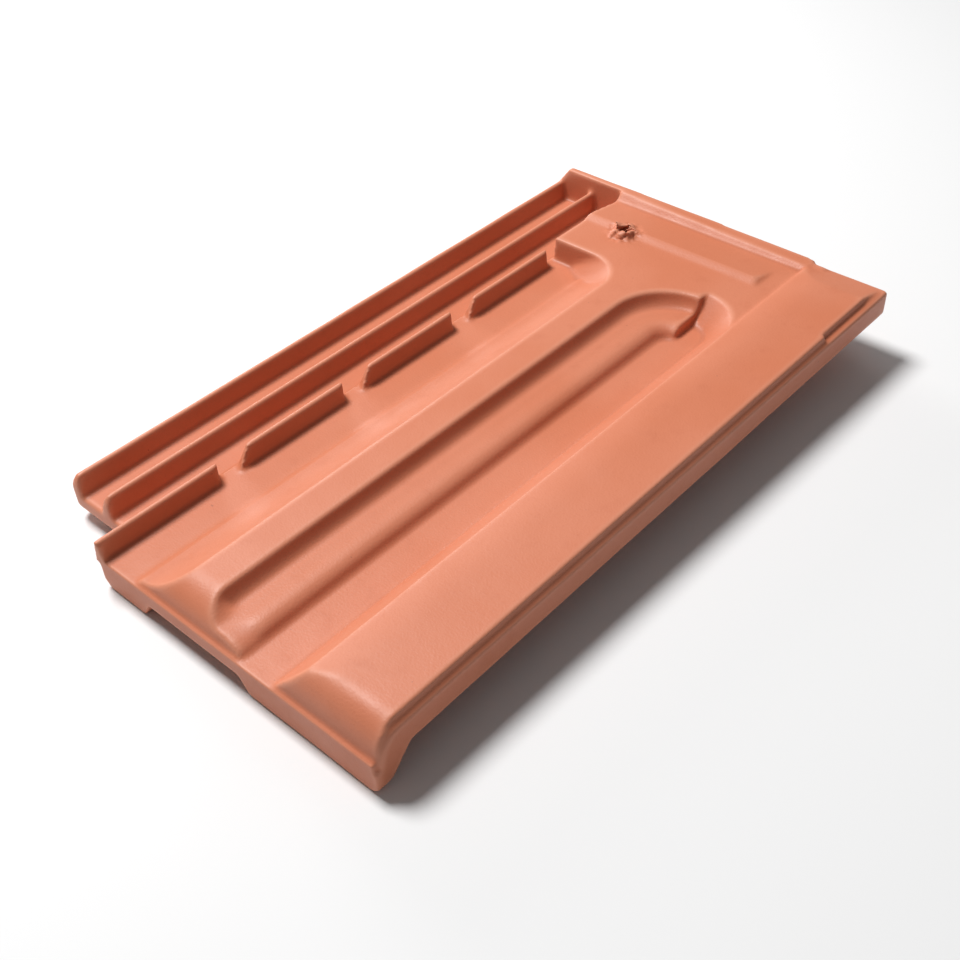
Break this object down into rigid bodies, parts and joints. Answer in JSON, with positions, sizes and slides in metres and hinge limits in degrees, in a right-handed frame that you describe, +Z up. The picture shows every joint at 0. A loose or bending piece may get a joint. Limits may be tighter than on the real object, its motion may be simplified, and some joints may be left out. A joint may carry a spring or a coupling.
{
  "type": "clay roof tile",
  "caption": "Pressed clay interlocking roof tile with side ribs, two water pans, a centre roll, a cover panel, a head upstand, a nail hole and batten nibs.",
  "frame": {"origin": "centre of the tile's box on the floor that it lies on", "axes": "+Y from the tail to the head, +X from the interlock edge to the cover edge, +Z up"},
  "size_m": [0.238, 0.4134, 0.0447],
  "materials": {
    "fired_clay": "matt unglazed fired clay"
  },
  "bodies": {
    "root": {"roof_tile": "fired_clay"}
  },
  "joints": []
}
